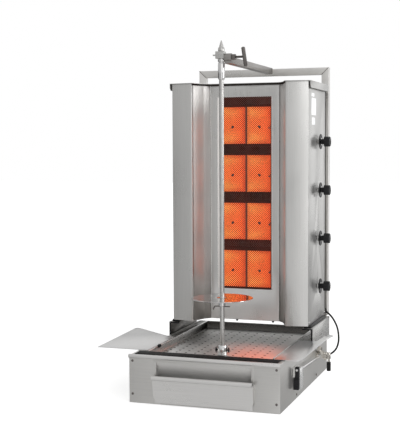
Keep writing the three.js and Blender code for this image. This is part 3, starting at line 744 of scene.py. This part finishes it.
def make_spit():
    at_spit = moved(0, SPIT_Y)
    cup = lathe([(9.5, 134.9), (15.6, 134.9), (17, 136.2), (17, 140), (16.5, 140.6), (16.5, 141.4),
                 (17, 142), (17, 166.4), (15.2, 169.4), (14.4, 170), (9.4, 170), (8.5, 169.2), (8.5, 144.5),
                 (9.5, 144.0), (9.5, 134.9)], 56)
    finish_piece("spit_cup", bm_at(cup, at_spit), "spit", CHROME, ["spit_socket"])
    needle = lathe([(0, 145.6), (7.2, 145.6), (8, 146.4), (8, 1168.6), (9.6, 1169.6), (11, 1171),
                    (11, 1180.6), (9.4, 1183), (7.6, 1184.2), (6.9, 1188), (2.1, 1203.5), (0.9, 1206.4),
                    (0, 1207)])
    finish_piece("spit_rod", bm_at(needle, at_spit), "spit", ROD, ["skewer"])
    sleeve = lathe([(8.4, 1075), (9.6, 1075), (11.2, 1078), (11.5, 1079.5), (11.5, 1129.5), (10.4, 1131),
                    (9.6, 1131.6), (9.6, 1133.8), (11.2, 1134.6), (11.9, 1135.6), (11.9, 1141.8),
                    (11.2, 1143), (8.4, 1143)], 48)
    finish_piece("spit_sleeve", bm_at(sleeve, at_spit), "spit", CHROME, ["skewer_sleeve"])
    dish = lathe([(8.4, 305.2), (10.6, 305.2), (12, 306.6), (12, 310), (11.3, 310.6), (11.3, 311.4),
                  (12, 312), (12, 326), (13.2, 328.6), (16, 330.0), (60, 330.0), (104.2, 330.0),
                  (105.6, 330.5), (106, 331.3), (105.6, 332.1), (104.2, 332.6), (99.0, 332.2), (40, 331.9),
                  (9.4, 332.5), (8.4, 332.0)], 96)
    finish_piece("carving_plate", bm_at(dish, at_spit), "carving_disc", MIRROR, ["meat_disc"])
    wire = smooth_path([(28, 0, 0), (10, 0, 0), (-23, 0, 0), (-27, 0, -2), (-30, 0, -6), (-32, 0, -12)])
    wire = [(p.x, p.y + SPIT_Y, p.z + PIN_Z) for p in wire]
    finish_piece("locking_wire", tube(wire, 1.95, 12), "lock_pin", HEATED, ["locking_pin"])
    for name, side in (("thumb_screw_left", -1), ("thumb_screw_right", 1)):
        bm = rod(3, 9, 21, 0.4, 18)
        for k in range(6):
            merge(bm, lathe([(2.9, 11 + k * 1.4), (3.25, 11.5 + k * 1.4), (2.9, 12 + k * 1.4)], 18))
        merge(bm, lathe([(4.6, 20), (6, 20.8), (6, 24.2), (4.8, 25), (0, 25)], 48, 24, 0.5))
        merge(bm, box((-3, -8.9, 20.6), (3, 8.9, 24.5), 1.3), quarter("Z"))
        turn = quarter("Y", side)
        finish_piece(f"{name}_head", bm_at(bm, moved(0, SPIT_Y, SCREW_Z) @ turn), name, BLACK, [name])


# ------------ rails, portal and arm
def make_portal():
    for node in ("left_post", "right_post", "top_crossbar"):
        refined(node, TUBE, "base", 1.8)
    refined("spit_arm", ARM_PAINTED_SHADE, "base", 1.5)
    # The left rail takes the darker copy of the rail steel: painted shade.
    refined("left_rail", RAIL_PAINTED_SHADE, "base", 1.0)
    refined("right_rail", SATIN_Y, "base", 1.0)
    refined("bearing_block", SATIN_Y, "base", 1.6)
    rail_front = millimetres("right_rail")[0].y
    outline = [(RAIL_OUTSIDE, 127), (RAIL_OUTSIDE - 6, 127), (RAIL_OUTSIDE - 6, 198.6),
               (RAIL_INSIDE, 198.6), (RAIL_INSIDE, 203.9), (RAIL_OUTSIDE, 203.9)]
    for name, side in (("left", -1), ("right", 1)):
        turned = [(side * x, z) for x, z in outline][::side]
        cap = extrude(turned, "y", rail_front - 2.2, rail_front + 0.3, 0.8)
        finish_piece(f"{name}_rail_cap", cap, "base", BLACK)
    seams_and_shade_strips = bmesh.new()
    mitre = [(258.2, 373.7, 1147.2), (244.5, 373.6, 1133.6), (231.2, 373.7, 1120.4)]
    for side in (-1, 1):
        merge(seams_and_shade_strips, tube(smooth_path([(side * x, y, z) for x, y, z in mitre], 8), 0.9, 8))
    join = [(x, 373.2, z) for x, z in ((12, 1128.4), (38.3, 1128.4), (38.3, 1149.6), (12, 1149.6))]
    for a, b in zip(join, join[1:] + join[:1]):
        merge(seams_and_shade_strips, tube([a, b], 1.1, 8))
    finish_piece("weld_seams", seams_and_shade_strips, "base", HEATED)


def make_clamp():
    ridges = [(3.3, 15)]
    threads, thread_pitch = 52, 1.3
    for k in range(threads):
        z = 15.6 + k * thread_pitch
        ridges += [(3.35, z), (4.0, z + 0.45), (4.0, z + 0.65), (3.35, z + 1.1)]
    ridges += [(3.3, 84)]
    bm = lathe(ridges, 20)
    merge(bm, nut(10.4, 38.3, 50.5, 1.1))
    grip = lathe([(0, -34), (4.2, -34), (5.8, -33), (6.5, -31), (6.5, 31), (5.8, 33), (4.2, 34),
                  (0, 34)], 28)
    lean = Matrix.Rotation(math.atan2(32, 60), 4, "Z")
    merge(bm, grip, lean @ moved(0, 0, 81) @ quarter("X", -1))
    turn = moved(0, SPIT_Y, CLAMP_Z) @ along("x")
    finish_piece("clamp_handle", bm_at(bm, turn), "clamp_screw", HEATED, ["clamp_screw"])


def make_wings():
    refined("left_wing", FLAP, "left_wing", 0.7)
    refined("right_wing", MIRROR_SOFT, "right_wing", 0.7)


# ------------ switch, conduit and gas fittings
def make_fittings():
    refined("switch_box", BOX, "base", 2.0)
    lever = box((271, -211, 80), (285, -198.6, 123), 2.4)
    merge(lever, box((264.5, -211, 46), (285, -198.6, 87), 2.4))
    for k in range(5):
        merge(lever, box((267, -211.6, 52 + k * 5), (282, -210, 54 + k * 5), 0.5))
    finish_piece("switch_handle", lever, "switch_lever", BLACK, ["switch_lever"])
    pivot = merge(rod(4.2, 0, 3.2, 0.9, 24), screw_head(2.4, 1.4), moved(0, 0, 3))
    finish_piece("lever_pivot", bm_at(pivot, moved(278, -211, 113) @ quarter("X")), "switch_lever", CHROME)
    route = smooth_path([(275, -143.7, 102), (275, -60, 99), (275, 60, 93), (275, VALVE_Y - 15.3, 89)], 8)
    pipe = tube(route, 3.9, 18)
    for end, way in ((route[0], 1), (route[-1], -1)):
        merge(pipe, nut(7.0, 0, 9, 0.8), moved(*end) @ quarter("X", -way))
    finish_piece("steel_conduit", pipe, "base", CHROME, ["conduit"])
    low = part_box("gas_valve")[0].x / MM
    across = moved(0, VALVE_Y, VALVE_Z) @ along("x")
    valve = bm_at(nut(18, low, 264, 0.8), across)
    merge(valve, lathe([(9.6, 263), (11, 264.4), (11, 268), (10, 269), (10, 287), (11, 288), (11, 292.5),
                        (10.2, 293.2), (10.2, 294.4), (11, 295), (11, 299), (9.8, 300)], 36), across)
    merge(valve, nut(15, 270, 286, 1.2), across)
    upright = moved(272, VALVE_Y)
    merge(valve, lathe([(6.5, VALVE_Z), (6.5, 107), (6.5, 118.5), (5.6, 119.2), (5.6, 120.4), (6.5, 121),
                        (5.4, 122), (0, 122)], 28), upright)
    merge(valve, nut(9.5, 108, 118, 0.9), upright)
    rearward = moved(292, 0, PORT_Z) @ quarter("X", -1)
    merge(valve, lathe([(6.5, VALVE_Y), (6.5, 228), (5.8, 228.7), (5.8, 229.6), (6.5, 230.3), (6.5, 233.5),
                        (5.2, 238), (0, 238)], 28), rearward)
    merge(valve, nut(9.5, 204, 216, 0.9), rearward)
    finish_piece("gas_cock", valve, "base", BRASS, ["gas_valve"], smooth=32)
    grip = bm_at(lathe([(7.6, 300.3), (9, 301.4), (9, 309.4), (7.6, 311), (3, 311), (2.6, 310),
                        (0, 310)], 32), across)
    arm = moved(305.5, VALVE_Y, VALVE_Z)
    merge(grip, lathe([(0, -26), (4.5, -26), (4.5, 0), (0, 0)], 20), arm)
    merge(grip, nut(7.2, -14, -5, 0.8), arm)
    finish_piece("gas_lever_arm", grip, "gas_lever", BRASS, ["gas_lever"])
    handle = [(0, -59), (5.6, -59), (7.2, -58), (7.8, -56)]
    for z in (-52 + k * 4.2 for k in range(6)):
        handle += [(7.8, z), (7.1, z + 0.6), (7.1, z + 1.6), (7.8, z + 2.2)]
    handle += [(7.8, -27.5), (6.8, -25.6), (4.4, -25), (0, -25)]
    finish_piece("gas_grip", bm_at(lathe(handle, 32), arm), "gas_lever", DULL, ["gas_lever"])
    slope = Matrix.Rotation(math.radians(90 + GLAND_SLOPE), 4, "Y")
    ribs = [(0, -4), (5.5, -4), (5.5, 3)]
    for k in range(4):
        z, groove = k * 2.6, 4.3 - k * 0.25
        ribs += [(5.3 - k * 0.3, 4 + z), (groove, 4.6 + z), (groove, 5.6 + z), (5.1 - k * 0.3, 6.2 + z)]
    ribs += [(4.4, 15.0), (3.9, 15.7)]
    gland = bm_at(lathe(ribs, 28), moved(*GLAND) @ slope)
    into_post = moved(GLAND[0], 0, GLAND[2]) @ quarter("X", -1)
    merge(gland, rod(5.5, GLAND[1], 373.7, 0.5, 28), into_post)
    merge(gland, nut(7.4, 371, 373.7, 0.4), into_post)
    finish_piece("strain_relief", gland, "base", BLACK, ["cord_gland"])


# ------------ burner head
def make_guard():
    """Fine wire lattice: two sets of slanting strands, one just behind the other, in a thin frame."""
    low, high = GUARD
    bm = bmesh.new()
    pitch, half, slant = 7.6, 0.74, 0.94
    inset = 4.0
    x0, x1, z0, z1 = -GUARD_X, GUARD_X, low.z + inset, high.z - inset
    for way, y in ((slant, low.y + 0.1), (-slant, low.y + 0.65)):
        offset = z0 - slant * x1 + pitch / 2
        while offset < z1 + slant * x1:
            spots = [(x, way * x + offset) for x in (x0, x1) if z0 <= way * x + offset <= z1]
            spots += [((z - offset) / way, z) for z in (z0, z1) if x0 < (z - offset) / way < x1]
            (ax, az), (bx, bz) = (spots + [(0, 0), (0, 0)])[:2]
            length = math.hypot(bx - ax, bz - az)
            if len(spots) == 2 and length > 3:
                shift = Vector((-(bz - az), 0, bx - ax)) / length * half
                deep = Vector((0, 0.5, 0))
                ends = [[bm.verts.new(p + d) for d in (shift, shift + deep, deep - shift, -shift)]
                        for p in (Vector((ax, y, az)), Vector((bx, y, bz)))]
                bm.faces.new(ends[0])
                bm.faces.new(ends[1][::-1])
                for k in range(4):
                    m = (k + 1) % 4
                    bm.faces.new((ends[0][k], ends[1][k], ends[1][m], ends[0][m]))
            offset += pitch
    edge = GUARD_X + 1
    for ax, az, bx, bz in ((-edge, low.z, edge, z0), (-edge, z1, edge, high.z),
                           (-edge, low.z, inset - edge, high.z), (edge - inset, low.z, edge, high.z)):
        merge(bm, box((ax, low.y, az), (bx, high.y, bz), 0.3))
    finish_piece("wire_guard", bm, "burner_head", WIRE, ["burner_guard"])


def make_burners():
    for i, (low, high) in enumerate(TILES, 1):
        refined(f"burner_body_{i}", SOOT_AND_SHADE, "burner_head", 1.2)
        refined(f"ceramic_tiles_{i}", GLOW, "burner_head", 1.0)
        middle = (low.z + high.z) / 2
        bm = bmesh.new()
        for x in (-52, 50):
            merge(bm, lathe([(5.2, 0), (5.2, 0.8), (3.2, 1.4), (2.6, 4.2), (0, 5)], 20),
                  moved(x, low.y, middle - 6) @ quarter("X"))
        probe = [(104, low.y - 6, middle - 14), (96, low.y - 6, middle - 13), (86, low.y - 7, middle - 9)]
        merge(bm, tube(smooth_path(probe), 2.2, 12))
        merge(bm, tube([(104, low.y - 6, middle - 3), (91, low.y - 6, middle - 5)], 3.0, 12))
        finish_piece(f"burner_fittings_{i}", bm, "burner_head", HEATED)


def make_knobs():
    for i, (low, high) in enumerate(KNOBS, 1):
        at_knob = moved(0, (low.y + high.y) / 2, (low.z + high.z) / 2) @ along("x")
        stem = rod(4.6, 251.9, 266, 0.6, 24)
        merge(stem, lathe([(8.2, 254.6), (10.2, 255.2), (10.2, 257.6), (8.2, 258.2)], 32))
        merge(stem, lathe([(6, 266.3), (13.0, 266.5), (13.8, 266.9), (13.0, 267.4), (6, 267.4)], 48))
        finish_piece(f"knob_stem_{i}", bm_at(stem, at_knob), f"gas_knob_{i}", CHROME)
        bm = lathe([(8, 262.6), (26.0, 262.8), (27.3, 263.4), (27.5, 265.2), (27.0, 266.2), (25.6, 266.4),
                    (21.6, 265.4), (8, 265.2)], 56)
        merge(bm, lathe([(9.5, 265), (9.5, 276), (14.8, 277.4), (17.8, 277.8), (18.4, 278.8),
                         (17.9, 297.6), (17.2, 299.4), (15.8, 299.8), (11.0, 299.9), (10.4, 299.2),
                         (0, 299.0)], 96, 18, 0.9))
        merge(bm, box((-3, -15.6, 281), (3, 15.6, 300.4), 1.4))
        finish_piece(f"control_knob_{i}", bm_at(bm, at_knob), f"gas_knob_{i}", BLACK, [f"gas_knob_{i}"])
        mark = box((-0.7, 3.0, 300.2), (0.7, 14.6, 300.5), 0.1)
        finish_piece(f"knob_mark_{i}", bm_at(mark, at_knob), f"gas_knob_{i}", PAPER)


def make_head():
    (_, _, bottom), (right, back, top) = HEAD
    refined("head_shell", PANEL, "burner_head", 1.0)
    refined("top_cover", PANEL, "burner_head", 0.9)
    refined("window_frame", FRAME, "burner_head", 0.5)
    lips, edges = bmesh.new(), bmesh.new()
    face = millimetres("window_frame")[0].y
    sill, lintel = WINDOW_Z
    lip = 1.1
    for side, reach in ((-1, 7.4), (1, lip)):
        x0, x1 = span(side, WINDOW_X, WINDOW_X - lip)
        merge(lips, box((x0, face + 0.2, sill), (x1, face + 14.0, lintel), 0.3))
        x0, x1 = span(side, WINDOW_X, WINDOW_X - reach)
        merge(lips, box((x0, face + 0.15, sill), (x1, face + 1.5, lintel), 0.2))
        for x, y, low, high, radius in ((side * 129.6, face - 0.4, bottom + 1, top - 3, 1.2),
                                        (side * 104.2, face - 0.1, sill, lintel, 0.9)):
            merge(edges, tube([(x, y, low), (x, y, high)], radius, 10))
    finish_piece("window_lips", lips, "burner_head", LIP)
    finish_piece("frame_edges", edges, "burner_head", BOX)
    refined("gas_manifold", BRASS, "burner_head", 0.6)
    nose = [(253.5, 56.2), (181, 42.2), (174, 42.2), (171.6, 48)]
    liner = [(170.9, 50.5), (150, 106), (131, 128.4)]
    for name, side in (("left", -1), ("right", 1)):
        sheet = folded([(x * side, y) for x, y in nose], -side * SHEET, 2.2)
        finish_piece(f"{name}_panel_sheet", extrude(sheet, "z", bottom, top, 0.35), "burner_head", PANEL,
                     [f"{name}_front_panel"], smooth=28)
        sheet = folded([(x * side, y) for x, y in liner], -side * SHEET, 1.6)
        finish_piece(f"{name}_liner_sheet", extrude(sheet, "z", bottom, top, 0.35), "burner_head", LINER,
                     [f"{name}_reflector"], smooth=28)
        refined(f"{name}_runner", BLACK, "burner_head", 1.2)
    # Near-black strips at the head's rear side edges and under the top cover's front edge: painted shade in
    # the gaps there.
    seams_and_shade_strips = bmesh.new()
    for side in (-1, 1):
        x0, x1 = span(side, right, right + 0.7)
        merge(seams_and_shade_strips, box((x0, 338.5, bottom + 2), (x1, 350.6, 1053), 0.25))
    throat = [(-171.5, 40.5), (-150, 104.5), (-131.5, 122), (131.5, 122), (150, 104.5), (171.5, 40.5)]
    merge(seams_and_shade_strips, extrude(folded(throat, 1.6, 2), "z", top - 6.2, top + 0.2, 0.2))
    finish_piece("head_shade_strips", seams_and_shade_strips, "burner_head", SOOT_AND_SHADE)
    labels = bmesh.new()
    for z0, z1, y0, y1 in ((1026, 1038, 104, 150), (960, 1021, 104, 176), (926, 952, 112, 160)):
        merge(labels, box((right - 0.2, y0, z0), (right + 0.5, y1, z1), 0.2))
    finish_piece("blank_labels", labels, "burner_head", PAPER)
    places = [(x, back, z, "+y") for x in (-238, 0, 238) for z in (230, 500, 780, 1040)]
    places += [(x, y, 222, way) for x, way in ((-right, "-x"), (right, "+x")) for y in (75, 335)]
    screws("head_screws", "burner_head", places, CHROME, 3.4, 1.6)
    louvres = bmesh.new()
    slat = [(back - 0.5, 0), (back + 4.2, -7.5), (back + 4.4, -8.6), (back + 3.2, -9), (back - 0.5, -2.6)]
    for row in range(6):
        for x in (-150, -40, 70):
            top_edge = 960 - row * 22
            merge(louvres, extrude([(y, top_edge + z) for y, z in slat], "x", x, x + 80, 0.4))
    finish_piece("rear_louvres", louvres, "burner_head", PANEL)
    screws("lower_bolts", "burner_head", [(x, 127.8, bottom, "-z") for x in (-30, 107)], BLACK, 4.5, 5)


make_base()
make_pan()
make_drawer()
make_drive()
make_spit()
make_portal()
make_clamp()
make_wings()
make_fittings()
make_guard()
make_burners()
make_knobs()
make_head()


# ------------ floor, world and lights
def make_floor():
    bpy.ops.mesh.primitive_plane_add(size=40, location=(0, 0, -0.0005))
    floor = bpy.context.object
    floor.name = "studio_floor"
    floor.visible_glossy = False
    made = Surface("studio_floor", Roughness=0.8)
    made.set("Base Color", made.blend(made.noise(3.0), rgb(0.90, 0.90, 0.90), rgb(0.93, 0.93, 0.93)))
    made.set("Emission Color", rgb(1, 1, 1))
    made.set("Emission Strength", 0.55)
    floor.data.materials.append(made.material)


def tone_ring(tree, compass, stops):
    """Grey tones by compass direction: 0.2 is in front of the grill, 0.7 behind it on the right."""
    ring = tree.nodes.new("ShaderNodeValToRGB")
    tree.links.new(compass.outputs["Fac"], ring.inputs["Fac"])
    marks = ring.color_ramp.elements
    while len(marks) < len(stops):
        marks.new(0.5)
    for mark, (spot, value) in zip(marks, stops):
        mark.position = spot
        mark.color = rgb(value, value, value)
    return ring.outputs["Color"]


def rising(tree, value, start, end):
    """Goes from 0 at start to 1 at end."""
    ramp = tree.nodes.new("ShaderNodeMapRange")
    ramp.interpolation_type = "SMOOTHSTEP"
    ramp.inputs["From Min"].default_value = min(start, end)
    ramp.inputs["From Max"].default_value = max(start, end)
    ramp.inputs["To Min"].default_value = float(start > end)
    ramp.inputs["To Max"].default_value = float(start < end)
    tree.links.new(value, ramp.inputs["Value"])
    return ramp.outputs["Result"]


def make_world():
    """A surround that the camera sees as white, and that the steel mirrors as a ring of studio panels.

    Each list gives tones by compass direction: level with the grill, below it and above it.
    """
    world = bpy.data.worlds.new("studio")
    SCENE.world = world
    world.use_nodes = True
    tree = world.node_tree
    tree.nodes.clear()
    new = tree.nodes.new
    link = tree.links.new
    place = new("ShaderNodeTexCoord").outputs["Generated"]
    compass = new("ShaderNodeTexGradient")
    compass.gradient_type = "RADIAL"
    link(place, compass.inputs["Vector"])
    level = [(0.0, 0.10), (0.10, 0.42), (0.16, 0.50), (0.215, 0.50), (0.26, 0.46), (0.31, 0.50),
             (0.33, 1.6), (0.37, 1.6), (0.40, 0.30), (0.47, 0.12), (0.60, 0.14), (0.665, 0.95),
             (0.725, 0.95), (0.77, 0.10), (0.90, 0.10), (1.0, 0.10)]
    low = [(0.0, 0.30), (0.16, 0.52), (0.26, 0.56), (0.335, 1.0), (0.40, 0.6), (0.50, 0.25), (0.62, 0.30),
           (0.70, 0.42), (0.78, 0.40), (0.90, 0.25), (1.0, 0.30)]
    high = [(0.0, 0.45), (0.20, 0.62), (0.335, 0.75), (0.50, 0.55), (0.70, 0.85), (0.80, 0.92), (0.90, 0.6),
            (1.0, 0.45)]
    rings = [tone_ring(tree, compass, stops) for stops in (level, low, high)]
    height = new("ShaderNodeSeparateXYZ")
    link(place, height.inputs["Vector"])
    lift = rising(tree, height.outputs["Z"], 0.10, 0.20)
    drop = rising(tree, height.outputs["Z"], -0.10, -0.17)
    sky = rising(tree, height.outputs["Z"], 0.30, 0.90)
    toned = mixed(tree, lift, rings[0], rings[2])
    toned = mixed(tree, drop, toned, rings[1])
    toned = mixed(tree, sky, toned, rgb(0.62, 0.62, 0.62))
    rays = new("ShaderNodeLightPath").outputs["Is Camera Ray"]
    seen = mixed(tree, rays, toned, rgb(1, 1, 1))
    background = new("ShaderNodeBackground")
    link(seen, background.inputs["Color"])
    link(background.outputs["Background"], new("ShaderNodeOutputWorld").inputs["Surface"])


def make_light(name, place, target, size, power, color=(1, 1, 1)):
    light = bpy.data.lights.new(name, "AREA")
    light.shape = "RECTANGLE"
    light.size, light.size_y = size
    light.energy = power
    light.color = color
    lamp = bpy.data.objects.new(name, light)
    lamp.location = place
    lamp.rotation_mode = "QUATERNION"
    lamp.rotation_quaternion = (Vector(target) - Vector(place)).to_track_quat("-Z", "Y")
    SCENE.collection.objects.link(lamp)
    return lamp


def make_burner_glow():
    """Orange light from the window, kept to the perforated plate: it would flood the reflectors."""
    window, size = (0, 0.118, 0.66), (0.19, 0.67)
    glow = make_light("burner_glow", window, (0, -1, 0.66), size, 0.9, (1.0, 0.16, 0.05))
    lit = bpy.data.collections.new("lit_by_burners")
    lit.objects.link(bpy.data.objects["perforated_plate"])
    glow.light_linking.receiver_collection = lit


SCENE.view_settings.view_transform = "Standard"
make_floor()
make_world()
make_light("key", (2.2, -2.6, 2.6), (0.2, 0, 0.8), (1.8, 1.8), 9)
make_light("side", (3.0, 0.2, 1.4), (0, 0.1, 0.6), (1.5, 1.5), 26)
make_burner_glow()
